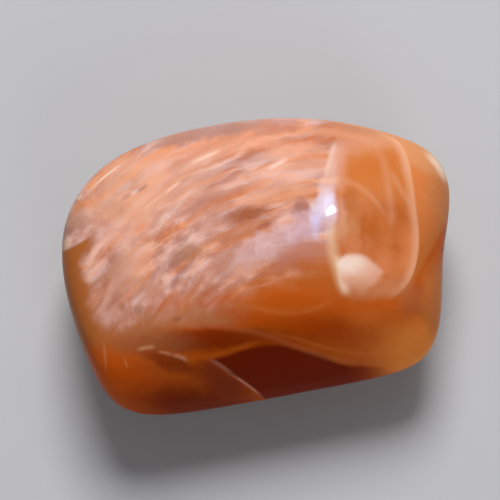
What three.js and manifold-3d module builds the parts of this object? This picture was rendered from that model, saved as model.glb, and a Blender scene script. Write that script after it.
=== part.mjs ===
// A tumbled peach moonstone: one solid pebble of feldspar, lying on the small flat worn on its underside.
// Millimetres, +Z up, +X along its length. The origin is on the surface it rests on, under the middle of its box.
//
// The rough was a block that had split along its cleavage. Tumbling wore its edges round, and left a shallow
// waist in its right side and faint scoops where old chips were. So the form is a set of flats round the stone's
// heart, blended into each other, and a few hollows. It is 25 mm long, 19.2 mm broad and 12.6 mm high.
import * as THREE from "three";
import { mergeVertices } from "three/addons/utils/BufferGeometryUtils.js";
import Module from "manifold-3d";

// Height of the heart above the surface. Every flat's reach is measured from the heart.
const HEART_HEIGHT = 6.2;
// How crisp the blends between the flats are: at 13 a square corner is worn to a radius of about 1.2 mm, and
// flats that face nearly the same way run into each other with no edge at all.
const CRISPNESS = 13;
// Each edge of the icosahedron is parted in this many steps, so the skin has 20 times its square of faces.
const STEPS_PER_EDGE = 16;
// Vertices closer than this are one.
const WELD = 1e-4;
// Thickness and breadth of the slab that cuts the resting flat.
const SLAB_THICKNESS = 4;
const SLAB_BREADTH = 60;

// Each flat faces a heading, in degrees anticlockwise from +X seen from above, and rises by an angle above the
// horizon. Its reach is its distance from the heart.
const CROWN = [
  { flat: "top, sloping to the left end", heading: 163, rise: 77, reach: 6.7 },
  { flat: "top, sloping to the right end", heading: -14, rise: 78, reach: 6.8 },
  { flat: "top, rolling to the back", heading: 84, rise: 70, reach: 7.2 },
  { flat: "top, rolling to the front", heading: -84, rise: 66, reach: 7.0 },
  { flat: "long slope down to the front", heading: -78, rise: 35, reach: 6.95 },
  { flat: "crest falling to the right side", heading: -6, rise: 37, reach: 10.9 },
];
const GIRDLE = [
  { flat: "right side", heading: -6, rise: 3, reach: 12.6 },
  { flat: "right back corner", heading: 27, rise: 12, reach: 17.2 },
  { flat: "back, turning to the right", heading: 60, rise: 8, reach: 12.5 },
  { flat: "back", heading: 80, rise: 10, reach: 10.4 },
  { flat: "back, left of the middle", heading: 101, rise: 10, reach: 9.75 },
  { flat: "back, turning to the left", heading: 121, rise: 10, reach: 11.45 },
  { flat: "left back shoulder", heading: 147, rise: 10, reach: 13.1 },
  { flat: "left end", heading: 180, rise: 10, reach: 13.35 },
  { flat: "left end, turning to the front", heading: 206, rise: 4, reach: 12.85 },
  { flat: "left front corner", heading: 245, rise: 2, reach: 14.9 },
  { flat: "foot of the front slope", heading: 280, rise: -10, reach: 8.5 },
  { flat: "right front corner", heading: 323, rise: 4, reach: 13.7 },
];
const UNDERSIDE = [
  { flat: "under the right side", heading: -8, rise: -16, reach: 12.8 },
  { flat: "under the right end", heading: 5, rise: -38, reach: 11.1 },
  { flat: "under the right back corner", heading: 45, rise: -36, reach: 11.9 },
  { flat: "under the back", heading: 95, rise: -36, reach: 8.9 },
  { flat: "under the left back shoulder", heading: 140, rise: -35, reach: 11.2 },
  { flat: "under the left end", heading: 190, rise: -33, reach: 11.6 },
  { flat: "under the left front corner", heading: 238, rise: -36, reach: 11.0 },
  { flat: "under the front", heading: 285, rise: -42, reach: 8.5 },
  { flat: "under the right front corner", heading: 325, rise: -36, reach: 11.8 },
  { flat: "belly, rising to the right", heading: 2, rise: -72, reach: 7.0 },
  { flat: "belly, rising to the back", heading: 96, rise: -69, reach: 6.85 },
  { flat: "belly, rising to the left", heading: 188, rise: -74, reach: 6.95 },
  { flat: "belly, rising to the front", heading: 276, rise: -71, reach: 6.8 },
];
// Each hollow is this deep at its middle, fading out over about this many degrees seen from the heart.
const HOLLOWS = [
  { hollow: "waist in the right side", heading: 3, rise: -4, depth: 0.4, spread: 13 },
  { hollow: "scoop low in the back", heading: 124, rise: -14, depth: 0.3, spread: 11 },
  { hollow: "scoop under the front", heading: 258, rise: -32, depth: 0.22, spread: 10 },
];

function direction(heading, rise) {
  const h = THREE.MathUtils.degToRad(heading);
  const r = THREE.MathUtils.degToRad(rise);
  return new THREE.Vector3(Math.cos(h) * Math.cos(r), Math.sin(h) * Math.cos(r), Math.sin(r));
}

const flats = [...CROWN, ...GIRDLE, ...UNDERSIDE].map(({ heading, rise, reach }) =>
  direction(heading, rise).divideScalar(reach),
);
const hollows = HOLLOWS.map(({ heading, rise, depth, spread }) => ({
  towards: direction(heading, rise),
  depth,
  spread: THREE.MathUtils.degToRad(spread),
}));

// Distance from the heart to the skin along a unit vector. Each flat alone would end it at 1 / (flat . towards);
// the power sum blends neighbours, as wear does.
function reachOf(towards) {
  const sum = flats.reduce((s, flat) => s + Math.max(0, flat.dot(towards)) ** CRISPNESS, 0);
  const scooped = hollows.reduce(
    (s, hollow) => s + hollow.depth * Math.exp(-((hollow.towards.angleTo(towards) / hollow.spread) ** 2)),
    0,
  );
  return sum ** (-1 / CRISPNESS) - scooped;
}

function skin() {
  const ball = new THREE.IcosahedronGeometry(1, STEPS_PER_EDGE - 1);
  ball.deleteAttribute("normal");
  ball.deleteAttribute("uv");
  const welded = mergeVertices(ball, WELD);
  const places = welded.getAttribute("position");
  const towards = new THREE.Vector3();
  for (let i = 0; i < places.count; i++) {
    towards.fromBufferAttribute(places, i).normalize();
    const place = towards.clone().multiplyScalar(reachOf(towards));
    places.setXYZ(i, place.x, place.y, place.z + HEART_HEIGHT);
  }
  return welded;
}

const wasm = await Module();
wasm.setup();

function solidOf(geometry) {
  geometry.deleteAttribute("normal");
  geometry.deleteAttribute("uv");
  const welded = mergeVertices(geometry, WELD);
  return new wasm.Manifold(
    new wasm.Mesh({
      numProp: 3,
      vertProperties: new Float32Array(welded.getAttribute("position").array),
      triVerts: new Uint32Array(welded.index.array),
    }),
  );
}

function geometryOf(solid) {
  const mesh = solid.getMesh();
  const geometry = new THREE.BufferGeometry();
  geometry.setAttribute("position", new THREE.BufferAttribute(mesh.vertProperties, mesh.numProp));
  geometry.setIndex(new THREE.BufferAttribute(mesh.triVerts, 1));
  geometry.computeVertexNormals();
  return geometry;
}

// The resting flat is cut level, where the stone wore flat.
function restingStone() {
  const slab = new THREE.BoxGeometry(SLAB_BREADTH, SLAB_BREADTH, SLAB_THICKNESS);
  slab.translate(0, 0, -SLAB_THICKNESS / 2);
  const geometry = geometryOf(solidOf(skin()).subtract(solidOf(slab)));
  geometry.computeBoundingBox();
  const middle = geometry.boundingBox.getCenter(new THREE.Vector3());
  geometry.translate(-middle.x, -middle.y, 0);
  return geometry;
}

const feldspar = new THREE.MeshStandardMaterial({ color: 0xd98b5c, roughness: 0.22, metalness: 0 });

const moonstone = new THREE.Mesh(restingStone(), feldspar);
moonstone.name = "moonstone";

const part = new THREE.Group();
part.add(moonstone);

export default part;
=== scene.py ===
# %% [markdown]
# # A tumbled peach moonstone
#
# Moonstone is a feldspar. As it cooled it parted into thin sheets of two feldspars, and those sheets give
# it its silky streaks and its milky shine. This pebble is one piece of it, tumbled until its edges were
# round. The lesson follows its history: a block is cleaved and worn smooth, and then looked into, layer by
# layer. First the measured model of the stone is loaded, which says how big it is and where it lies. Every
# length below is given in millimetres, and Blender works in metres.

# %% Load the measured stone
import math

import bpy
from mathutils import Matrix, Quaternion, Vector


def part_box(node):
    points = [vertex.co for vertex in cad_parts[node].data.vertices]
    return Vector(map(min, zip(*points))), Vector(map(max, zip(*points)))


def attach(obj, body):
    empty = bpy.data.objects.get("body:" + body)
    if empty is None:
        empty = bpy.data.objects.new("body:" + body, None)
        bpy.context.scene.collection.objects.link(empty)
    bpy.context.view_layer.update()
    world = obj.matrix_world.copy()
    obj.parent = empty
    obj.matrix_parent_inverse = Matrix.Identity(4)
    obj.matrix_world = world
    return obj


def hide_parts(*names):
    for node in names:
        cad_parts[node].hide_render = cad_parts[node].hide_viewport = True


MM = 0.001
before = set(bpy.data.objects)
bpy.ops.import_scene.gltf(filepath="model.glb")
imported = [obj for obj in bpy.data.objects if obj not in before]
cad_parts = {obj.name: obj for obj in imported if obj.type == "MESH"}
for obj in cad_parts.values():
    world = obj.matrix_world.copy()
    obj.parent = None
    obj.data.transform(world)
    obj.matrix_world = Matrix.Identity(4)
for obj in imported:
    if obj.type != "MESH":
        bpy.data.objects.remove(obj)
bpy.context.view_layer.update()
LOW, HIGH = (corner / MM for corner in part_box("moonstone"))
print("stone measured, in mm:", [round(side, 1) for side in HIGH - LOW])

# %% [markdown]
# ## The camera
#
# The stone is seen from almost straight above, 78 degrees over the table. A long lens far away would
# flatten it. This one stands 160 mm off, where a macro lens would. The same viewpoint gives the stone its
# plan: a flat drawing of its top, on which every marking is later placed in millimetres to the right of
# and above the middle. That viewpoint is fixed to the stone, so the markings stay where they are from any
# side.

# %% Camera
LIFT = math.radians(78)
EYE_DISTANCE = 160.0
FRAME_BREADTH = 32.3
AIM_LEFT = 0.42
AIM_UP = 1.10
PLAN_HEIGHT = 6.0
SENSOR = 36.0
RIGHT = Vector((1, 0, 0))
UP = Vector((0, math.sin(LIFT), math.cos(LIFT)))
BACK = Vector((0, -math.cos(LIFT), math.sin(LIFT)))
MIDDLE = Vector((0, 0, PLAN_HEIGHT))
aim = MIDDLE - AIM_LEFT * RIGHT + AIM_UP * UP

lens = bpy.data.cameras.new("camera")
lens.sensor_width = SENSOR
lens.lens = SENSOR * EYE_DISTANCE / FRAME_BREADTH
lens.clip_start = 0.01
camera = bpy.data.objects.new("camera", lens)
camera.location = (aim + EYE_DISTANCE * BACK) * MM
camera.rotation_euler = BACK.to_track_quat("Z", "Y").to_euler()
bpy.context.scene.collection.objects.link(camera)
bpy.context.scene.camera = camera
print("lens", round(lens.lens), "mm")

# %% [markdown]
# ## Table and light
#
# A plain pale table and a plain studio. One broad soft light stands behind the stone and above it, as a
# window would, so the top is bright and the front slope lies in shade. Its own reflection would be a wide
# glare on the polish, so it is kept out of the reflections. A weak lamp in front and the pale room lighten
# the shadows, and a small lamp gives the one sharp glint.

# %% Table
TABLE_BREADTH = 600
bpy.ops.object.select_all(action="DESELECT")
bpy.ops.mesh.primitive_plane_add(size=TABLE_BREADTH * MM)
table = bpy.context.object
table.name = "table"
print("table:", round(table.dimensions.x / MM), "mm square")


# %% Lights
def soft_lamp(name, place, breadth, watts, look_at, mirrored, twist):
    """An oval area lamp. A mirrored lamp is only seen in the polish, and any other only lights the stone."""
    glow = bpy.data.lights.new(name, "AREA")
    glow.shape = "ELLIPSE"
    glow.size, glow.size_y = (side * MM for side in breadth)
    glow.energy = watts
    lamp = bpy.data.objects.new(name, glow)
    lamp.location = Vector(place) * MM
    turned = (Vector(place) - Vector(look_at)).to_track_quat("Z", "Y")
    turned = turned @ Quaternion((0, 0, 1), math.radians(twist))
    lamp.rotation_euler = turned.to_euler()
    lamp.visible_glossy = mirrored
    lamp.visible_diffuse = not mirrored
    bpy.context.scene.collection.objects.link(lamp)


GLINT_SPOT = Vector((4.65, 2.33, 12.15))
GLINT_WAY = Vector((0.305, 0.366, 0.88))
GLINT_DISTANCE = 150
# Each has its place, its two breadths, its watts, where it looks, whether it is mirrored, and its twist.
LAMPS = {
    "window": ((0, 190, 290), (150, 150), 1.2, MIDDLE, False, 0),
    "fill": ((90, -200, 160), (140, 140), 0.12, MIDDLE, False, 0),
    "glint": (GLINT_SPOT + GLINT_DISTANCE * GLINT_WAY, (13.0, 1.0), 0.12, GLINT_SPOT, True, -32),
}
for lamp_name, settings in LAMPS.items():
    soft_lamp(lamp_name, *settings)

ROOM_SHADE = (0.92, 0.95, 1.0, 1.0)
ROOM_STRENGTH = 0.15
room = bpy.data.worlds.new("room")
room.use_nodes = True
room.node_tree.nodes["Background"].inputs["Color"].default_value = ROOM_SHADE
room.node_tree.nodes["Background"].inputs["Strength"].default_value = ROOM_STRENGTH
bpy.context.scene.world = room
bpy.context.scene.view_settings.view_transform = "Standard"
print("lamps:", list(LAMPS))

# %% [markdown]
# ## Shaping the stone
#
# Feldspar breaks along flat cleavages, so the rough is a block with a few flats. A cube of the stone's
# size is cleaved by bisecting it with a plane for each flat. Each flat is given by the way it faces, as a
# heading round the stone and a rise above the level, and by how far it lies from the stone's heart.


# %% Cleave the block
def facing(heading, rise):
    h, r = math.radians(heading), math.radians(rise)
    return Vector((math.cos(h) * math.cos(r), math.sin(h) * math.cos(r), math.sin(r)))


HEART = Vector((0, 0, 6.2))
# Each has its heading and its rise, in degrees, and its reach from the heart.
CLEAVAGES = {
    "long slope down to the front": (-78, 35, 7.0),
    "crest falling to the right": (-6, 37, 11.0),
    "left back shoulder": (130, 10, 12.2),
    "right back corner": (45, 10, 14.2),
    "left front corner": (235, 0, 14.2),
    "right front corner": (323, 0, 13.8),
    "under the front": (285, -42, 8.5),
    "under the back": (95, -36, 9.0),
    "under the left end": (190, -33, 11.6),
    "under the right end": (5, -38, 11.1),
}

bpy.ops.object.select_all(action="DESELECT")
bpy.ops.mesh.primitive_cube_add(size=1, location=(LOW + HIGH) / 2 * MM, scale=(HIGH - LOW) * MM)
stone = bpy.context.object
stone.name = "polished_moonstone"
bpy.ops.object.transform_apply(location=True, rotation=True, scale=True)
bpy.ops.object.mode_set(mode="EDIT")
for heading, rise, reach in CLEAVAGES.values():
    way = facing(heading, rise)
    bpy.ops.mesh.select_all(action="SELECT")
    bpy.ops.mesh.bisect(
        plane_co=(HEART + reach * way) * MM, plane_no=way, use_fill=True, clear_outer=True
    )
bpy.ops.object.mode_set(mode="OBJECT")
print("cleaved block:", len(stone.data.polygons), "faces")

# %% [markdown]
# ## Tumbling
#
# In the barrel the block loses its edges. A voxel remesh gives it an even skin that can be worn, and a
# shrinkwrap wears that skin down to the measured stone. The measured stone is a mesh of small triangles,
# so a copy of it is merged and smoothed first, and thrown away afterwards. Sculpting the wear by hand
# would look the same, but the stone would no longer have its true size.


# %% Tumble it smooth
def worn(piece, kind, **settings):
    modifier = piece.modifiers.new(kind.lower(), kind)
    for name, value in settings.items():
        setattr(modifier, name, value)
    bpy.context.view_layer.objects.active = piece
    bpy.ops.object.modifier_apply(modifier=modifier.name)


SKIN_STEP = 0.145
MERGE_DISTANCE = 0.001
FIRST_RUBS = 12
LAST_RUBS = 3

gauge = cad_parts["moonstone"].copy()
gauge.data = gauge.data.copy()
gauge.name = "gauge"
bpy.context.scene.collection.objects.link(gauge)
bpy.ops.object.select_all(action="DESELECT")
bpy.context.view_layer.objects.active = gauge
gauge.select_set(True)
bpy.ops.object.mode_set(mode="EDIT")
bpy.ops.mesh.select_all(action="SELECT")
bpy.ops.mesh.remove_doubles(threshold=MERGE_DISTANCE * MM)
bpy.ops.object.mode_set(mode="OBJECT")
worn(gauge, "SUBSURF", levels=2, render_levels=2)

worn(stone, "REMESH", mode="VOXEL", voxel_size=SKIN_STEP * MM)
worn(stone, "SHRINKWRAP", target=gauge, wrap_method="NEAREST_SURFACEPOINT")
worn(stone, "SMOOTH", factor=0.5, iterations=FIRST_RUBS)
worn(stone, "SHRINKWRAP", target=gauge, wrap_method="NEAREST_SURFACEPOINT")
worn(stone, "SMOOTH", factor=0.5, iterations=LAST_RUBS)
bpy.data.objects.remove(gauge)
print("tumbled stone:", len(stone.data.polygons), "faces")

# %% [markdown]
# ## What the tumbler left
#
# No tumbled stone is perfectly even. The polish follows harder and softer sheets, so the skin swells and
# sinks by some hundredths of a millimetre, which shows where light grazes it. A grain fell out near the
# left end and left a pit, and a crack in the front slope is worn to a fine groove. Each mark is painted
# as a vertex group, found by its place on the plan, and sunk with a Displace modifier.


# %% Swells, pit and crack
def on_plan(point):
    """Where a point of the stone, in metres, is seen on the plan, in millimetres."""
    away = point / MM - MIDDLE
    nearer = EYE_DISTANCE / (EYE_DISTANCE - away.dot(BACK))
    return Vector((away.dot(RIGHT), away.dot(UP))) * nearer


def off_line(spot, start, end):
    """Distance from a spot on the plan to the line from start to end."""
    start, end = Vector(start), Vector(end)
    share = (spot - start).dot(end - start) / (end - start).length_squared
    return (spot - start - min(1.0, max(0.0, share)) * (end - start)).length


# The skin is on the plan where its normal leans towards the viewpoint by more than this.
ON_THE_PLAN = 0.1


def sunk(name, start, end, breadth, depth):
    """Sinks a soft groove from start to end into the side of the stone that the plan shows."""
    group = stone.vertex_groups.new(name=name)
    for vertex in stone.data.vertices:
        if vertex.normal.dot(BACK) > ON_THE_PLAN:
            nearness = 1 - off_line(on_plan(vertex.co), start, end) / breadth
            if nearness > 0:
                group.add([vertex.index], nearness * nearness * (3 - 2 * nearness), "REPLACE")
    worn(stone, "DISPLACE", strength=-depth * MM, mid_level=0, vertex_group=name)


# Each has its start, its end, its breadth and its depth.
GROOVES = {
    "pit": ((-7.95, 4.87), (-7.75, 4.95), 0.32, 0.1),
    "crack, upper half": ((-3.3, -5.8), (-1.5, -7.0), 0.26, 0.05),
    "crack, lower half": ((-1.9, -6.75), (0.5, -8.5), 0.24, 0.06),
}
SWELL_SIZE = 2.6
SWELL_DEPTH = 0.05
SWELLS_START = 0.45
SWELLS_RISE = 1.5
upper = stone.vertex_groups.new(name="above the table")
for vertex in stone.data.vertices:
    share = (vertex.co.z / MM - SWELLS_START) / SWELLS_RISE
    upper.add([vertex.index], min(1.0, max(0.0, share)), "REPLACE")
swells = bpy.data.textures.new("swells", "CLOUDS")
swells.noise_scale = SWELL_SIZE * MM
worn(
    stone, "DISPLACE", texture=swells, texture_coords="LOCAL",
    strength=SWELL_DEPTH * MM, vertex_group=upper.name,
)
for name, (start, end, breadth, depth) in GROOVES.items():
    sunk(name, start, end, breadth, depth)
stone.vertex_groups.clear()
bpy.ops.object.select_all(action="DESELECT")
stone.select_set(True)
bpy.ops.object.shade_smooth()
print("skin swells by", SWELL_DEPTH, "mm")

# %% [markdown]
# ## Shader maths as plain arithmetic
#
# A material is a web of nodes, and a long web is hard to read. The class below wraps one socket of it, so
# that `1 - mask * 0.5` adds the two Math nodes by itself.


# %% The wire
class Wire:
    """The output of a node. Arithmetic on it adds Math nodes, and node() adds any other node."""

    tree = None

    def __init__(self, socket):
        self.socket = socket

    @classmethod
    def node(cls, kind, settings=(), values=(), output=0):
        made = cls.tree.nodes.new(kind)
        for name, value in dict(settings).items():
            setattr(made, name, value)
        for name, value in dict(values).items():
            if isinstance(value, Wire):
                cls.tree.links.new(value.socket, made.inputs[name])
            else:
                made.inputs[name].default_value = value
        return cls(made.outputs[output])

    def math(self, operation, *others):
        return self.node("ShaderNodeMath", {"operation": operation}, enumerate((self, *others)))

    def __add__(self, other):
        return self.math("ADD", other)

    def __sub__(self, other):
        return self.math("SUBTRACT", other)

    def __rsub__(self, other):
        return self.node("ShaderNodeMath", {"operation": "SUBTRACT"}, {0: other, 1: self})

    def __mul__(self, other):
        return self.math("MULTIPLY", other)

    def __rtruediv__(self, other):
        return self.node("ShaderNodeMath", {"operation": "DIVIDE"}, {0: other, 1: self})

    __radd__ = __add__
    __rmul__ = __mul__


# %% Small helpers
def ramped(value, start, end, top=1.0):
    """0 before start, top after end, and a smooth rise between. Start may lie after end."""
    ends = {"From Min": start, "From Max": end, "To Max": top, "Value": value}
    return Wire.node("ShaderNodeMapRange", {"interpolation_type": "SMOOTHSTEP"}, ends)


def dotted(vector, way):
    return Wire.node("ShaderNodeVectorMath", {"operation": "DOT_PRODUCT"}, {0: vector, 1: way}, "Value")


def moved(vector, by):
    return Wire.node("ShaderNodeVectorMath", {"operation": "ADD"}, {0: vector, 1: by})


def scaled(vector, by):
    return Wire.node("ShaderNodeVectorMath", {"operation": "MULTIPLY"}, {0: vector, 1: by})


def joined(x, y, z):
    return Wire.node("ShaderNodeCombineXYZ", (), enumerate((x, y, z)))


def cloudy(vector, scale, detail=2.0, rough=0.5, output="Fac"):
    values = {"Vector": vector, "Scale": scale, "Detail": detail, "Roughness": rough}
    return Wire.node("ShaderNodeTexNoise", (), values, output)


def pushed(vector, there, scale, detail, reach):
    """The vector, pushed about on the plan by noise, by up to half of reach either way."""
    noise = cloudy(there, scale, detail, 0.5, "Color")
    push = scaled(moved(noise, (-0.5, -0.5, -0.5)), (reach, reach, 0.0))
    return moved(vector, push)


def tone(red, green, blue):
    """A colour as a screen shows it, from 0 to 255, turned into the light that Blender mixes."""
    shares = [shade / 255 for shade in (red, green, blue)]
    return (*[s / 12.92 if s <= 0.04045 else ((s + 0.055) / 1.055) ** 2.4 for s in shares], 1.0)


def tinted(under, over, mask):
    """The colour under, covered by the colour over where the mask is 1."""
    mix = Wire.tree.nodes.new("ShaderNodeMix")
    mix.data_type = "RGBA"
    for slot, value in ((0, mask), (6, under), (7, over)):
        if isinstance(value, Wire):
            Wire.tree.links.new(value.socket, mix.inputs[slot])
        else:
            mix.inputs[slot].default_value = value
    return Wire(mix.outputs[2])


# %% [markdown]
# ## The stone's plan
#
# The markings lie in the stone, and most of them show best on its top. They are drawn on its plan. The
# plan is worked out from Object coordinates alone, so it belongs to the stone and not to the camera.

# %% Plan coordinates
feldspar = bpy.data.materials.new("peach_feldspar")
feldspar.use_nodes = True
Wire.tree = feldspar.node_tree
place = scaled(Wire.node("ShaderNodeTexCoord", (), (), "Object"), (1 / MM, 1 / MM, 1 / MM))
skin_way = Wire.node("ShaderNodeTexCoord", (), (), "Normal")
from_middle = moved(place, -MIDDLE)
nearer = EYE_DISTANCE / (EYE_DISTANCE - dotted(from_middle, BACK))
level = dotted(place, (0, 0, 1))
plan = joined(dotted(from_middle, RIGHT) * nearer, dotted(from_middle, UP) * nearer, 0.0)
loose_plan = pushed(plan, place, 1.1, 3.0, 0.9)
across = dotted(plan, (1, 0, 0))
upward = dotted(plan, (0, 1, 0))
seen_from_above = ramped(dotted(skin_way, BACK), -0.1, 0.06)
print("the plan has", len(Wire.tree.nodes), "nodes")


# %% Ways to draw on the plan
def stroke(start, end, width, bow, weight, fade):
    """A soft line from start to end, bowed to its left by bow, and fading over a share of its length."""
    du, dv = end[0] - start[0], end[1] - start[1]
    run = math.hypot(du, dv)
    along = dotted(plan, (du / run**2, dv / run**2, 0)) - (start[0] * du + start[1] * dv) / run**2
    aside = dotted(plan, (-dv / run, du / run, 0)) - (start[1] * du - start[0] * dv) / run
    if bow:
        aside = aside - along * (1 - along) * (4 * bow)
    line = ramped(aside.math("ABSOLUTE"), width, 0.0, weight)
    return line * ramped(along, 0.0, fade) * ramped(along, 1.0, 1.0 - fade)


def patch(middle, reach, turn, soft, weight=1.0, on=None):
    """A soft oval. Reach is half its length and half its breadth, and turn is its angle on the plan."""
    rim = 1 + soft
    values = {
        "Vector": on or loose_plan,
        "Location": (*middle, 0),
        "Rotation": (0, 0, math.radians(turn)),
        "Scale": (rim * reach[0], rim * reach[1], 1),
    }
    inside = Wire.node("ShaderNodeMapping", {"vector_type": "TEXTURE"}, values)
    ball = Wire.node("ShaderNodeTexGradient", {"gradient_type": "SPHERICAL"}, {"Vector": inside}, "Fac")
    return ramped(ball, 0.0, 2 * soft / rim, weight)


def left_of(start, end, soft, on=None):
    """1 on the left of the line from start to end, and 0 on its right."""
    on = on or loose_plan
    du, dv = end[0] - start[0], end[1] - start[1]
    run = math.hypot(du, dv)
    aside = dotted(on, (-dv / run, du / run, 0)) - (start[1] * du - start[0] * dv) / run
    return ramped(aside, -soft, soft)


def traced(value, points):
    """A smooth line through given points: its height where it has come as far as value."""
    first, last = points[0][0], points[-1][0]
    heights = [height for _, height in points]
    low, high = min(heights), max(heights)
    made = Wire.tree.nodes.new("ShaderNodeFloatCurve")
    line = made.mapping.curves[0]
    for _ in points[2:]:
        line.points.new(0.5, 0.5)
    for knot, (reached, height) in zip(line.points, points):
        knot.location = ((reached - first) / (last - first), (height - low) / (high - low))
    made.mapping.update()
    Wire.tree.links.new(((value - first) * (1 / (last - first))).socket, made.inputs["Value"])
    return Wire(made.outputs["Value"]) * (high - low) + low


def near(distance, width, weight):
    """The weight on a line, and 0 from width away on either side."""
    return ramped(distance.math("ABSOLUTE"), width, 0.0, weight)


def between(value, start, end, soft):
    """1 from start to end, fading out over a soft stretch inside both."""
    return ramped(value, start, start + soft) * ramped(value, end, end - soft)


# %% [markdown]
# ## Silk
#
# The silk of moonstone is its thin sheets of feldspar, seen where they come up to the polish. They make
# long curved streaks, because the sheets are bent and the skin cuts them at a slant. So the pattern is
# noise on bent coordinates: it is fine across the grain, and drawn out along it. One set of noises makes
# the streaks lighter or darker, and another makes them pinker or more orange. Towards the left end the
# sheets are broken, and the streaks turn into flecks. A picture painted by hand could be wrapped round
# the stone instead, but it would have a seam somewhere, and noise has none.

# %% Streaks
GRAIN_EYE = (1.1, -3.5, 0.0)
GRAIN_SLANT = math.radians(30)
swayed = pushed(plan, place, 0.5, 2.0, 0.8)
ring = Wire.node("ShaderNodeVectorMath", {"operation": "DISTANCE"}, {0: swayed, 1: GRAIN_EYE}, "Value")
slope = dotted(swayed, (-math.sin(GRAIN_SLANT), math.cos(GRAIN_SLANT), 0))
grain = 0.5 * ring + 0.5 * slope + 0.35 * level
along_grain = dotted(swayed, (math.cos(GRAIN_SLANT), math.sin(GRAIN_SLANT), 0))


def streaks(fineness, drawn, shift, detail=2.0):
    """Noise that is fine across the grain, and drawn out along it."""
    there = joined(along_grain * (fineness / drawn), grain * fineness, level * (fineness * 0.3) + shift)
    return cloudy(there, 1.0, detail, 0.55)


broad = streaks(0.75, 7.0, 0.0, 3.0)
threads = streaks(2.1, 10.0, 5.0)
lumps = streaks(1.0, 1.8, 8.0, 4.0)
broad_hue = streaks(0.6, 4.0, 11.0, 3.0)
thread_hue = streaks(2.0, 10.0, 17.0)
wisps = streaks(1.5, 6.0, 23.0)
flecks = streaks(1.5, 2.6, 31.0, 3.0)
veils = cloudy(place, 0.55, 4.0, 0.6)

streaky = ramped(broad * 0.55 + lumps * 0.15 + threads * 0.4, 0.42, 0.7)
mottled = ramped(veils * 0.3 + lumps * 0.25 + flecks * 0.45, 0.4, 0.6)
low_left = left_of((5.0, 3.0), (-11.0, 5.5), 3.5, plan)
light = streaky + (mottled - streaky) * (low_left * 0.85)
warm = ramped(broad_hue * 0.45 + thread_hue * 0.55 - low_left * 0.04, 0.38, 0.62)
dark_silk = tinted(tone(172, 118, 104), tone(192, 104, 60), warm)
light_silk = tinted(tone(228, 184, 174), tone(236, 160, 114), warm)
silk = tinted(dark_silk, light_silk, light)
silk = tinted(silk, tone(238, 198, 182), ramped(wisps, 0.55, 0.75, 0.6))
plain_silk = silk
print("with the streaks:", len(Wire.tree.nodes), "nodes")
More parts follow.
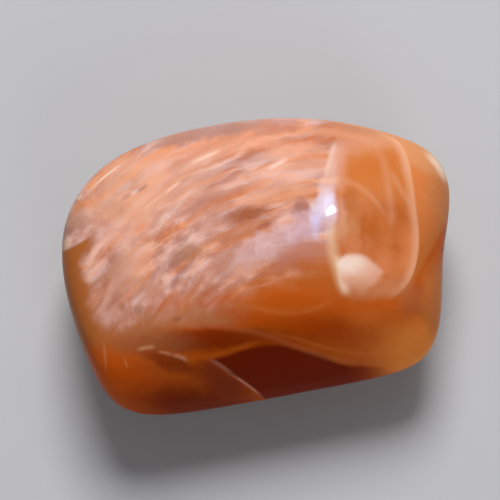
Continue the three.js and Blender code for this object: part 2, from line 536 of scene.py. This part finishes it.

# %% [markdown]
# ## Shades of the silk
#
# Some sheets are stained rusty, others are mauve, and where the sheets are close they look pale. Nothing
# in the stone has a clean edge, so each such place is a soft oval on the loose plan, whose noise frays
# its rim. A few bright sheets stand out on their own, and a white streak on the upper left rim is a
# painted reflection of the light along it. They are strokes from one spot of the plan to another.

# %% Shades of the silk
# Each has its middle, its reach, its turn, how soft it is, its weight and its shade.
SILK_SHADES = {
    "mauve rim": ((-2.8, 8.75), (3.6, 0.5), 11, 0.5, 0.85, (176, 128, 114)),
    "tan under the upper field": ((-3.0, 2.7), (0.9, 0.4), 25, 0.7, 0.5, (198, 130, 104)),
    "tan by the wedge": ((3.6, 7.2), (1.2, 1.0), 0, 0.7, 0.5, (206, 138, 104)),
    "peach band under it": ((-3.3, 7.7), (5.2, 0.5), 12, 0.6, 0.6, (230, 158, 124)),
    "pale upper field": ((-4.6, 6.2), (2.2, 0.7), 25, 0.7, 0.5, (236, 176, 148)),
    "pale field below it": ((-4.3, 5.0), (1.8, 0.5), 28, 0.7, 0.5, (236, 176, 150)),
    "pale shoulder": ((-8.9, 5.8), (1.9, 0.9), 40, 0.6, 0.5, (228, 174, 148)),
    "pale field": ((-6.9, 4.3), (1.6, 0.9), 35, 0.7, 0.65, (236, 180, 154)),
    "pale field by the rim": ((-6.8, 5.9), (1.3, 0.45), 32, 0.7, 0.65, (242, 182, 154)),
    "peach at the back": ((2.2, 7.6), (1.7, 0.45), 8, 0.7, 0.7, (238, 172, 142)),
    "tan behind the cloud": ((2.8, 6.5), (1.2, 0.35), 12, 0.7, 0.5, (206, 140, 112)),
    "rust over the pools": ((-0.4, 5.3), (1.1, 0.4), 20, 0.7, 0.55, (202, 130, 98)),
    "pale field by the end": ((-8.2, 0.0), (0.9, 1.5), -20, 0.7, 0.75, (232, 178, 154)),
    "tan field by the foot": ((-6.8, -1.2), (0.8, 0.7), 20, 0.7, 0.75, (186, 122, 94)),
    "tan at the left end": ((-11.6, 3.1), (0.9, 0.7), 30, 0.6, 0.6, (194, 142, 118)),
    "orange by the pit": ((-7.4, 2.5), (0.5, 0.9), 10, 0.7, 0.5, (222, 146, 108)),
    "orange by the end": ((-7.6, 0.6), (0.8, 0.6), 30, 0.6, 0.3, (216, 144, 108)),
    "mauve left": ((-10.6, 2.0), (1.2, 0.7), 20, 0.6, 0.3, (196, 144, 126)),
    "peach by the rim": ((-9.5, 3.9), (1.4, 0.9), 30, 0.7, 0.6, (232, 172, 140)),
    "pale left field": ((-8.0, 2.5), (1.9, 0.7), 20, 0.7, 0.5, (230, 172, 148)),
    "grey spot": ((-9.9, 4.15), (0.55, 0.25), 20, 0.7, 0.5, (206, 158, 138)),
    "rust pool": ((-0.5, 3.45), (1.4, 0.55), 22, 0.6, 0.9, (160, 90, 60)),
    "rust band over the cloud": ((-1.4, 2.2), (1.9, 0.45), 20, 0.6, 0.7, (182, 114, 84)),
    "small rust pool": ((0.5, 2.65), (0.75, 0.3), 25, 0.6, 0.8, (164, 94, 70)),
    "second rust pool": ((-3.0, 4.0), (1.7, 0.5), 25, 0.6, 0.5, (184, 114, 88)),
    "brown by the halo": ((2.85, 3.75), (0.65, 0.6), 50, 0.5, 0.9, (166, 110, 96)),
    "peach over it": ((1.5, 4.8), (2.0, 0.6), 12, 0.6, 0.6, (222, 156, 118)),
    "olive pool": ((-4.5, 0.9), (1.1, 0.6), 20, 0.6, 0.7, (160, 104, 76)),
    "mauve foot": ((-9.4, -1.6), (2.4, 1.3), 60, 0.6, 0.6, (174, 116, 92)),
    "tan foot": ((-4.6, -2.3), (3.0, 0.7), 12, 0.6, 0.6, (178, 116, 84)),
}
for middle, reach, turn, soft, weight, shade in SILK_SHADES.values():
    silk = tinted(silk, tone(*shade), patch(middle, reach, turn, soft, weight))
print("shades in the silk:", len(SILK_SHADES))

# %% Streaks that stand out
# Each has its start, its end, its width, its bow, its weight and its shade.
SILK_STREAKS = {
    # The white streak on the rim is no sheet of silk: it is a painted reflection of the light along the rim.
    "painted reflection on the rim": ((-11.0, 4.7), (-8.2, 7.0), 0.1, 0.14, 0.65, (250, 224, 206)),
    "upper streak": ((-4.5, 6.6), (-2.1, 7.7), 0.2, 0.0, 0.75, (250, 206, 180)),
    "streak below it": ((-6.2, 4.6), (-4.7, 5.75), 0.2, 0.0, 0.7, (248, 202, 182)),
    "short pale streak": ((-7.5, 3.6), (-5.9, 4.9), 0.16, 0.0, 0.45, (244, 196, 176)),
    "bright fleck": ((0.5, 6.25), (2.15, 7.1), 0.22, 0.0, 0.75, (250, 208, 194)),
    "first wisp of the end": ((-9.6, 1.7), (-11.5, -0.7), 0.32, 0.15, 0.4, (206, 156, 134)),
    "second wisp of the end": ((-9.2, 0.3), (-10.7, -3.9), 0.3, 0.3, 0.4, (206, 150, 128)),
    "gap between the wisps": ((-9.6, -0.2), (-11.2, -1.5), 0.35, 0.1, 0.6, (170, 108, 80)),
    "second gap": ((-8.8, -1.2), (-9.9, -3.0), 0.3, 0.1, 0.5, (166, 106, 80)),
}
for start, end, width, bow, weight, shade in SILK_STREAKS.values():
    silk = tinted(silk, tone(*shade), stroke(start, end, width, bow, weight, 0.4))
print("streaks that stand out:", len(SILK_STREAKS))

# %% [markdown]
# ## Cloud
#
# Where the sheets are finest they scatter the light, and make the milky cloud that moonstone is named
# for. This one drifts up to the right, pinkish in the middle and bluish white at its thick end, with a
# brown hollow below it. The cloud is partly the stone's milky colour and partly painted sheen, and the
# bluish white halo round the glint is painted sheen and highlight. Its ovals are drawn on a plan that
# noise has pushed about, so their rims billow like smoke.

# %% Cloud
# Each has its middle, its reach, its turn, how soft it is, its weight and its shade.
billows = pushed(plan, plan, 0.8, 2.0, 1.7)
thick = ramped(cloudy(billows, 0.8, 3.0, 0.55), 0.36, 0.62)
CLOUD = {
    "thin end": ((-1.3, 0.5), (2.6, 0.9), 28, 0.6, 0.7, (196, 140, 120)),
    "brown under it": ((3.0, 0.4), (2.3, 0.8), 10, 0.6, 1.0, (174, 116, 98)),
    "mauve under it": ((1.7, 0.6), (0.9, 0.6), 20, 0.6, 0.9, (182, 124, 114)),
    "pink under it": ((2.5, 1.35), (1.3, 0.5), 22, 0.7, 0.6, (202, 156, 154)),
    "pale lower band": ((0.4, 0.5), (2.4, 0.4), 33, 0.6, 0.6, (202, 150, 134)),
    "middle": ((1.4, 1.9), (2.5, 0.8), 30, 0.7, 1.0, (204, 160, 158)),
    "thick end": ((3.0, 2.6), (1.5, 0.8), 35, 0.5, 0.9, (200, 158, 166)),
    # The lavender lobe, the white puff and the halo over the glint are the glint's painted sheen and
    # highlight.
    "painted lavender sheen by the glint": ((3.85, 3.1), (0.42, 1.1), -10, 0.8, 1.0, (212, 198, 230)),
    "painted white sheen by the glint": ((3.8, 4.1), (0.5, 0.45), 0, 0.7, 0.8, (222, 206, 214)),
    "painted halo over the glint": ((4.8, 4.0), (0.55, 1.2), 0, 1.0, 1.0, (234, 218, 238)),
}
for middle, reach, turn, soft, weight, shade in CLOUD.values():
    puff = patch(middle, reach, turn, soft, weight, billows) * (0.72 + 0.28 * thick)
    silk = tinted(silk, tone(*shade), puff)
crown = patch((1.4, 2.1), (2.6, 0.7), 30, 0.6, 0.6, billows) * thick
silk = tinted(silk, tone(226, 188, 188), crown)
silk = tinted(silk, tone(190, 126, 108), patch((3.7, 0.95), (1.4, 0.75), 0, 0.8, 0.8))
print("parts of the cloud:", len(CLOUD))

# %% [markdown]
# ## Clear feldspar
#
# The right end and the front of the stone hold no silk. They are clear and orange like honey, darker
# where the stone is deep. The borders are traced through a few points each, in millimetres on the plan. A
# Float Curve makes a smooth line of them, and comparing a place with that line tells on which side of it
# the place lies. Real depth would need glass with a second stone inside, so the depth is painted: pale
# where the light comes out again at the crest and the corner, and dark in the front, which the light
# doesn't reach.

# %% Lines that part the regions
# Each point says how far the line has come, and where it is there.
SEAM_LINE = [
    (-1.7, 5.83), (-0.6, 5.45), (0.45, 5.18), (1.5, 5.0), (2.6, 5.1), (3.6, 5.28), (4.8, 5.12),
    (6.0, 5.1), (8.1, 5.2), (9.6, 5.9),
]
SILK_FOOT = [(-12.0, -5.2), (-10.1, -4.7), (-7.8, -3.6), (-3.7, -2.8), (-1.1, -1.9), (1.5, -0.5), (4.8, 0.2)]
END_LINE = [
    (-4.1, -10.2), (-2.8, -10.7), (-1.2, -10.9), (-0.5, -11.5), (0.6, -11.4), (1.3, -11.0), (2.4, -10.8),
]
CREST_SIDE = [
    (-1.7, 9.1), (-1.15, 9.65), (-0.4, 10.05), (0.7, 10.35), (2.0, 10.45), (3.5, 10.3), (4.8, 10.15),
    (5.8, 10.0), (6.9, 9.8), (7.9, 9.35), (8.5, 8.5), (8.95, 7.1),
]
CREST_FOOT = [(-0.5, -1.9), (0.3, -2.1), (3.0, -2.2), (5.3, -1.7), (7.5, -1.5), (8.9, -1.35), (10.0, -0.8)]
seam_line = traced(upward, SEAM_LINE)
silk_foot = traced(across, SILK_FOOT)
end_line = traced(upward, END_LINE)
crest_side = traced(upward, CREST_SIDE)
crest_foot = traced(across, CREST_FOOT)

feather = (threads - 0.5) * 1.6 + (lumps - 0.5) * 2.6
silky = ramped(seam_line - across + (lumps - 0.5) * 0.6 * ramped(upward, 5.0, 7.0), -0.15, 0.3)
silky = silky * ramped(upward - silk_foot + feather * 0.8, -0.8, 2.0)
over_notch = left_of((-12.2, 1.2), (-10.9, 1.85), 0.12, plan)
silky = silky * ramped(across - end_line + feather * 0.5, -0.3, 0.8).math("MAXIMUM", over_notch)
borders = (SEAM_LINE, SILK_FOOT, END_LINE, CREST_SIDE, CREST_FOOT)
print("lines that part the regions:", len(borders), "through", sum(map(len, borders)), "points")

# %% Clear feldspar on the top
depths = cloudy(place, 0.3, 3.0, 0.55)
glassy = tinted(tone(186, 96, 38), tone(198, 114, 62), ramped(depths, 0.4, 0.62))
glassy = tinted(glassy, tone(208, 120, 58), ramped(upward, 3.6, 5.4, 0.8))
near_top = dotted(loose_plan, (-0.2, 1.0, 0))
glassy = tinted(glassy, tone(214, 148, 112), ramped(near_top, 5.2, 6.9, 0.9))
glassy = tinted(glassy, silk, ramped(near_top, 5.4, 7.2, 0.45) * ramped(across, 8.0, 5.2))
glassy = tinted(glassy, tone(188, 124, 92), ramped(upward, 8.2, 9.2, 0.8))
flank = tinted(tone(188, 104, 48), tone(216, 126, 68), ramped(upward, 0.0, 5.0))
beyond_crest = ramped(across - crest_side, -0.05, 0.12)
amber = tinted(glassy, flank, beyond_crest)
print("with the clear top:", len(Wire.tree.nodes), "nodes")

# %% Clear feldspar in the front slope
# Each has its middle, its reach, its turn, how soft it is, its weight and its shade.
FRONT_SHADES = {
    "right": ((8.2, -4.4), (3.2, 1.9), -10, 0.6, 0.9, (226, 114, 42)),
    "middle": ((4.6, -4.0), (2.6, 0.9), -12, 0.7, 0.7, (182, 64, 2)),
    # The corner glow is painted light, where light that went into the stone comes out again.
    "painted corner glow": ((10.4, -5.2), (2.6, 1.6), 35, 0.7, 0.95, (255, 148, 62)),
    "tan band under the silk": ((-3.6, -3.1), (4.6, 0.7), 6, 0.5, 0.9, (182, 112, 72)),
    "orange streaks": ((1.1, -3.4), (3.0, 0.5), -8, 0.6, 0.85, (190, 76, 8)),
    "right edge": ((11.8, -2.0), (1.2, 2.4), 0, 0.5, 0.9, (200, 116, 58)),
    "lens under the silk": ((-3.4, -4.65), (4.2, 0.7), 2, 0.6, 0.9, (136, 44, 4)),
    "left corner": ((-8.6, -6.2), (2.6, 2.0), -30, 0.6, 0.8, (184, 88, 34)),
    "bottom left": ((-8.2, -7.4), (2.8, 1.3), -30, 0.7, 0.95, (210, 88, 14)),
    # The foot of the corner, darker towards the bottom edge, is partly deep colour and partly painted shade.
    "foot of the corner": ((-3.6, -9.0), (2.8, 0.6), -10, 0.8, 0.8, (128, 38, 4)),
    "tan under the silk": ((-7.6, -4.6), (3.2, 0.8), -5, 0.6, 0.8, (158, 90, 52)),
    "tan left foot": ((-8.4, -3.4), (2.8, 1.0), 0, 0.6, 0.9, (172, 104, 66)),
}
front = tinted(tone(184, 74, 8), tone(196, 88, 16), ramped(depths, 0.4, 0.6))
for middle, reach, turn, soft, weight, shade in FRONT_SHADES.values():
    front = tinted(front, tone(*shade), patch(middle, reach, turn, soft, weight))

DARK_EDGE = [
    (-4.0, -6.6), (-2.5, -5.6), (-0.9, -5.05), (0.9, -4.85), (2.2, -5.05), (4.1, -5.55), (6.0, -6.2),
    (8.4, -6.4), (9.5, -7.2),
]
CRACK_LINE = ((-3.0, -6.07), (0.4, -8.4))
# Each has its middle, its reach, its turn, how soft it is, its weight and its shade.
BY_THE_CRACK = {
    # The brown foot, darker towards the bottom edge, is partly deep colour and partly painted shade.
    "brown foot": ((-3.4, -9.2), (4.2, 1.5), -8, 0.6, 0.9, (126, 40, 2)),
    "grey brown": ((-2.2, -7.1), (1.6, 1.0), -40, 0.5, 0.85, (132, 50, 22)),
}
# The dark front right of the crack is partly the deep colour of the clear feldspar and partly painted shade.
dark_edge = traced(across, DARK_EDGE)
dark = ramped(dark_edge - upward + (threads - 0.5) * 0.3, -0.05, 0.35)
right_of_crack = left_of(*CRACK_LINE, 0.1, plan)
front = tinted(front, tone(122, 31, 0), dark * right_of_crack * ramped(across, 9.5, 5.5))
for middle, reach, turn, soft, weight, shade in BY_THE_CRACK.values():
    left_part = patch(middle, reach, turn, soft, weight) * (1 - right_of_crack)
    front = tinted(front, tone(*shade), left_part)
# A painted shadow under the cream dashes.
front = tinted(front, tone(140, 52, 18), patch((-5.3, -6.2), (2.0, 0.45), -20, 0.6, 0.8))
below_crest = ramped(crest_foot - upward, 0.0, 0.9)
amber = tinted(amber, front, below_crest)
amber = tinted(amber, tone(196, 88, 20), patch((2.3, -2.2), (3.0, 0.9), 2, 0.7, 1.0))
end_band = ramped(end_line - across, -1.6, -0.2) * ramped(upward, -6.2, -3.8)
amber = tinted(amber, tone(170, 96, 46), end_band)

colour = tinted(amber, silk, silky)
print("shades in the front:", len(FRONT_SHADES) + len(BY_THE_CRACK))

# %% [markdown]
# ## Marks, seam and growth lines
#
# Small marks make it this stone and no other: the pit, a few brown spots, a white dot and a chip. The
# chip's face is pale partly in its own colour and partly by painted light, and its rim carries a painted
# highlight. A cream seam parts the silk from the clear end. It starts as a pale wedge at the back, and
# opens into a white fan at its foot, where the sheets spread and an inner crack shows, whose whiteness is
# partly painted reflection. Beyond it the clear feldspar shows how the crystal grew: fine pale lines, one
# inside the other, that follow the crest. Each is as faint and as soft as its depth in the stone makes
# it. Along the crest itself lie a painted highlight and a painted glow, where the light comes out again.

# %% Small marks in the silk
# Each has its middle, its reach, its turn, how soft it is, its weight and its shade.
SMALL_MARKS = {
    "pit": ((-7.85, 4.91), (0.32, 0.12), 35, 0.8, 0.75, (222, 192, 184)),
    "pit's dark end": ((-7.35, 5.12), (0.36, 0.1), 35, 0.8, 0.5, (150, 104, 92)),
    "pit's other end": ((-8.35, 4.62), (0.3, 0.1), 35, 0.8, 0.4, (172, 126, 112)),
    "grey by the pit": ((-8.45, 5.3), (0.5, 0.2), 30, 0.7, 0.5, (216, 176, 162)),
    "orange spot": ((-7.4, 2.6), (0.5, 0.25), 30, 0.8, 0.4, (224, 136, 88)),
    "white dot": ((-5.9, -0.65), (0.25, 0.28), 0, 0.7, 0.6, (232, 186, 172)),
    "first brown spot": ((-7.6, -2.75), (0.3, 0.3), 0, 0.8, 0.6, (150, 98, 76)),
    "second brown spot": ((-8.7, -2.5), (0.22, 0.3), 0, 0.8, 0.6, (152, 98, 78)),
    "third brown spot": ((-5.15, -3.3), (0.3, 0.16), 20, 0.8, 0.5, (140, 84, 52)),
    "chip on the end": ((-12.2, 1.6), (0.22, 0.4), -20, 0.5, 0.8, (236, 194, 166)),
}
for middle, reach, turn, soft, weight, shade in SMALL_MARKS.values():
    colour = tinted(colour, tone(*shade), patch(middle, reach, turn, soft, weight, plan))
# Each has its start, its end, its width, its bow, its weight and its shade.
SCRATCH_AND_RIM_REFLECTION = {
    "level scratch": ((-9.2, 1.87), (-4.0, 1.2), 0.1, 0.0, 0.35, (228, 170, 146)),
    # The nick in the rim is no nick: it is a faint painted reflection of the light along the left rim.
    "painted reflection low on the rim": ((-11.6, 4.33), (-11.25, 4.75), 0.14, 0.0, 0.8, (244, 204, 178)),
}
for start, end, width, bow, weight, shade in SCRATCH_AND_RIM_REFLECTION.values():
    colour = tinted(colour, tone(*shade), stroke(start, end, width, bow, weight, 0.3))
print("small marks:", len(SMALL_MARKS) + len(SCRATCH_AND_RIM_REFLECTION))

# %% Seam
CREAM = tone(226, 180, 142)
WEDGE_LEAN = 0.335
wedge = across - upward * WEDGE_LEAN
wedge = ramped(wedge, 2.15, 2.45) * ramped(across, 6.2, 4.8) * between(upward, 4.6, 8.4, 0.9)
colour = tinted(colour, tone(222, 172, 154), wedge * 0.75)
colour = tinted(colour, tone(236, 200, 184), stroke((5.1, 8.3), (4.4, 5.7), 0.3, 0.0, 0.45, 0.25))
colour = tinted(colour, tone(236, 188, 158), patch((4.35, 5.6), (0.75, 0.2), 6, 0.9, 0.65))
cream_line = near(across - seam_line + 0.1, 0.65, 0.65) * between(upward, -2.1, 3.3, 1.0)
colour = tinted(colour, CREAM, cream_line)
colour = tinted(colour, tone(238, 208, 182), stroke((5.15, 1.0), (5.85, -1.95), 0.44, 0.0, 0.85, 0.3))
# A painted glow of the glint, on its right, where the halo fades into the seam.
colour = tinted(colour, tone(220, 164, 140), patch((5.45, 3.4), (0.35, 1.2), 5, 0.9, 0.6))
print("with the seam:", len(Wire.tree.nodes), "nodes")

# %% Fan
# The fan is an inner crack under the seam's foot: its whiteness is partly the crack and partly painted
# reflection.
FAN_TOP = [(4.9, 0.1), (5.26, 0.4), (5.75, 0.85), (6.3, 0.98), (6.9, 0.85), (7.5, 0.45), (8.25, -0.25)]
fan = ramped(traced(across, FAN_TOP) - upward, -0.22, 0.3) * ramped(across - seam_line, -0.2, 0.15)
fan = fan * left_of((7.0, -1.7), (8.25, -0.3), 0.3) * ramped(upward, -1.9, -0.7)
fan_shade = tinted(tone(222, 164, 136), tone(242, 216, 200), patch((5.85, 0.3), (1.2, 0.65), -14, 0.8))
colour = tinted(colour, fan_shade, fan * 0.95)
print("the fan opens over", round(FAN_TOP[-1][0] - FAN_TOP[0][0], 2), "mm")

# %% Growth lines in the glass, and painted light along the crest
PEACH_LINE = tone(216, 152, 116)
ROOF_LINE = [(2.5, 8.74), (5.2, 8.64), (7.1, 8.2), (8.0, 7.5), (8.5, 6.5)]
INNER_LINE = [(2.4, 8.7), (3.4, 8.7), (4.3, 8.62), (5.3, 8.5), (6.1, 8.37), (6.9, 8.17), (8.0, 7.7)]
ARC_LINE = [(5.1, 5.6), (6.0, 5.5), (7.0, 4.95), (7.9, 4.0), (8.7, 2.8)]
roof = near(upward - traced(across, ROOF_LINE), 0.4, 0.65) * between(across, 2.0, 8.5, 1.5)
inner = near(across - traced(upward, INNER_LINE), 0.5, 0.38) * between(upward, 2.2, 7.9, 1.2)
arc = near(upward - traced(across, ARC_LINE), 0.45, 0.35) * between(across, 4.9, 8.6, 1.0)
outer = stroke((8.5, 6.6), (10.3, 3.6), 0.35, -0.1, 0.4, 0.3)


def along_crest(start, end, weight, low, high, soft):
    """A band on the glassy side of the crest, from low to high on the plan."""
    band = ramped(across - crest_side, start, end, weight) * (1 - beyond_crest)
    return band * between(upward, low, high, soft)


# The pale edge along the crest is a painted highlight, and the glow low inside it is painted light that
# comes out again.
crest_highlight = along_crest(-0.7, -0.05, 0.65, -2.2, 9.2, 1.2)
crest_pale = along_crest(-1.0, -0.1, 0.6, 5.4, 8.8, 1.0)
painted_crest_glow = along_crest(-1.6, -0.5, 0.75, -1.0, 3.2, 1.4)
foot_pale = ramped(upward - crest_foot, 1.2, 0.2, 0.35) * (1 - below_crest) * between(across, 5.5, 10.4, 1.5)
colour = tinted(colour, tone(220, 132, 82), painted_crest_glow)
for line in (roof, inner, arc, outer, crest_pale, foot_pale):
    colour = tinted(colour, PEACH_LINE, line)
colour = tinted(colour, tone(232, 172, 136), crest_highlight)
colour = tinted(colour, tone(214, 138, 98), patch((6.4, 1.6), (0.9, 0.7), 0, 0.8, 0.5) * (1 - fan))
# This patch carries the painted glow of the crest towards the fan.
colour = tinted(colour, tone(222, 138, 92), patch((8.2, 0.1), (1.1, 0.8), 0, 0.8, 0.55) * (1 - fan))
# Each has its middle, its reach, its turn, how soft it is, its weight and its shade.
GLASS_SHADES = {
    "brown under the crest": ((9.9, -2.0), (0.8, 1.0), 0, 0.7, 0.6, (182, 104, 64)),
    "olive under the arc": ((6.05, 4.2), (0.6, 0.8), 0, 0.5, 0.7, (184, 104, 50)),
    "tan under it": ((6.2, 2.7), (0.45, 0.6), -15, 0.8, 0.6, (206, 142, 96)),
    "peach by the seam": ((5.6, 2.6), (0.3, 0.8), 0, 0.8, 0.5, (212, 150, 112)),
    "dark fold": ((6.9, 2.6), (0.2, 1.2), 0, 0.7, 0.6, (184, 96, 42)),
}
for middle, reach, turn, soft, weight, shade in GLASS_SHADES.values():
    colour = tinted(colour, tone(*shade), patch(middle, reach, turn, soft, weight))
print("with the growth lines:", len(Wire.tree.nodes), "nodes")

# %% Chip on the right back corner, and painted light on it
# The chip's face is pale partly in its own colour and partly by painted light, as it faces the window; the
# bright stroke along its rim is a painted highlight.
lit_chip_face = left_of((10.0, 6.6), (12.2, 5.4), 0.35, plan) * beyond_crest
colour = tinted(colour, tone(216, 148, 100), lit_chip_face * 0.85)
colour = tinted(colour, tone(208, 128, 76), patch((11.8, 4.7), (0.8, 1.3), 20, 0.7, 0.8) * beyond_crest)
colour = tinted(colour, tone(252, 218, 190), stroke((10.6, 7.7), (12.45, 5.0), 0.4, 0.28, 0.9, 0.4) * lit_chip_face)
SCUFFS = [((10.3, 5.3), (11.5, 3.6)), ((10.8, 5.9), (11.9, 4.4)), ((11.5, 4.2), (12.3, 2.5))]
for start, end in SCUFFS:
    colour = tinted(colour, tone(214, 136, 84), stroke(start, end, 0.16, 0.1, 0.4, 0.4))
print("scuffs by the chip:", len(SCUFFS))

# %% [markdown]
# ## Lines and crack of the front
#
# In the front slope the growth lines run level, one above the other, and bend down to the right. The worn
# crack has a pale lip, where the light catches its edge, and small chips beside it are pale too. A line
# is a traced curve or a bowed stroke, and both fade at their ends.

# %% Lines in the front slope
PALE_LINE = [
    (-7.2, -4.0), (-4.9, -3.75), (-2.5, -3.8), (-0.4, -4.1), (1.5, -4.7), (3.5, -5.45), (6.0, -6.1),
    (8.0, -6.2), (10.0, -6.05),
]
UPPER_BRANCH = [(0.3, -4.15), (2.2, -4.5), (4.8, -5.25), (7.3, -5.65), (9.9, -5.9)]
WINDOW_FOOT = [(-1.1, -2.2), (0.4, -2.7), (2.2, -2.95), (3.7, -2.65), (4.8, -2.1), (5.5, -1.6)]
ORANGE_EDGE = [(-4.6, -5.8), (-2.5, -5.65), (-0.9, -5.15), (0.4, -4.85)]
# Each has its points, its width, its weight and its shade.
FRONT_LINES = {
    "pale line": (PALE_LINE, 0.34, 0.3, (204, 116, 70)),
    "its upper branch": (UPPER_BRANCH, 0.24, 0.35, (224, 120, 50)),
    "foot of the window": (WINDOW_FOOT, 0.3, 0.45, (206, 110, 44)),
    "orange edge": (ORANGE_EDGE, 0.34, 0.6, (206, 96, 20)),
}
for points, width, weight, shade in FRONT_LINES.values():
    line = near(upward - traced(across, points), width, weight)
    first, last = points[0][0], points[-1][0]
    line = line * between(across, first, last, 0.25 * (last - first))
    colour = tinted(colour, tone(*shade), line)
print("lines in the front:", len(FRONT_LINES))

# %% Crack and chips
# Each has its start, its end, its width, its bow, its weight and its shade.
FRONT_STROKES = {
    "crack, upper half": ((-3.3, -5.8), (-1.3, -7.2), 0.24, 0.12, 0.65, (206, 126, 96)),
    "crack, lower half": ((-1.9, -6.75), (0.5, -8.5), 0.16, 0.08, 0.9, (222, 140, 108)),
    "left dash": ((-7.9, -5.35), (-6.4, -5.1), 0.24, 0.05, 0.5, (224, 160, 116)),
    "middle dash": ((-6.5, -5.4), (-5.3, -5.7), 0.2, 0.05, 0.4, (226, 164, 124)),
    "right dash": ((-5.6, -5.6), (-4.3, -6.1), 0.24, 0.08, 0.55, (226, 164, 126)),
    "short upright": ((-8.6, -5.7), (-8.3, -6.6), 0.12, 0.0, 0.4, (220, 150, 100)),
    "long upright": ((-9.9, -4.5), (-9.7, -7.0), 0.14, 0.0, 0.35, (220, 150, 104)),
}
for start, end, width, bow, weight, shade in FRONT_STROKES.values():
    colour = tinted(colour, tone(*shade), stroke(start, end, width, bow, weight, 0.35))
print("strokes in the front:", len(FRONT_STROKES))

# %% [markdown]
# ## The sides that the plan doesn't show
#
# On the steep back and on the underside the plan would smear, because it is a view from above. So the
# drawn marks fade out where the skin turns away from that view. The plain streaks go on alone, since they
# change with the height as well as on the plan. Silk fills the left of the stone and clear feldspar its
# right, as on top.

# %% Sides that the plan doesn't show
forward = dotted(place, (0, -1, 0))
silk_reach = ramped(across + (veils - 0.5) * 10.0 + (lumps - 0.5) * 2.0, 5.5, 1.5)
plain_amber = tinted(tone(176, 88, 34), tone(198, 114, 62), ramped(depths, 0.4, 0.62))
hidden = tinted(plain_amber, plain_silk, silk_reach)
hidden = tinted(hidden, tone(150, 62, 14), ramped(forward + (veils - 0.5) * 6.0, 4.5, 7.5, 0.9))
colour = tinted(hidden, colour, seen_from_above)
print("the whole pattern:", len(Wire.tree.nodes), "nodes")

# %% [markdown]
# ## Polish
#
# Weeks in the tumbler leave a polish that looks wet, and light goes a little way into the stone before it
# comes out again. So the finish is a soft shine with a thin clear coat, which shows the one sharp glint,
# and some subsurface light, which travels furthest in red. The shine is kept faint, or the pale room
# would veil the dark front. The table is plain and dull.

# %% Finish of the feldspar
POLISH = {
    "Roughness": 0.3,
    "IOR": 1.2,
    "Specular IOR Level": 0.08,
    "Subsurface Weight": 0.25,
    "Subsurface Radius": (1.0, 0.55, 0.3),
    "Subsurface Scale": 0.4 * MM,
    "Coat Weight": 0.04,
    "Coat Roughness": 0.05,
}
gloss = Wire.tree.nodes["Principled BSDF"]
Wire.tree.links.new(colour.socket, gloss.inputs["Base Color"])
for socket_name, value in POLISH.items():
    gloss.inputs[socket_name].default_value = value
stone.data.materials.clear()
stone.data.materials.append(feldspar)
print("nodes in the feldspar:", len(Wire.tree.nodes))

# %% Table finish
tabletop = bpy.data.materials.new("tabletop")
tabletop.use_nodes = True
dull = tabletop.node_tree.nodes["Principled BSDF"]
dull.inputs["Base Color"].default_value = tone(188, 188, 190)
dull.inputs["Roughness"].default_value = 0.8
table.data.materials.append(tabletop)
print("finishes:", [made.name for made in bpy.data.materials if made.users])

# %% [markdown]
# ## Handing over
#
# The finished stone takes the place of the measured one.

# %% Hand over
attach(stone, "root")
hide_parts("moonstone")
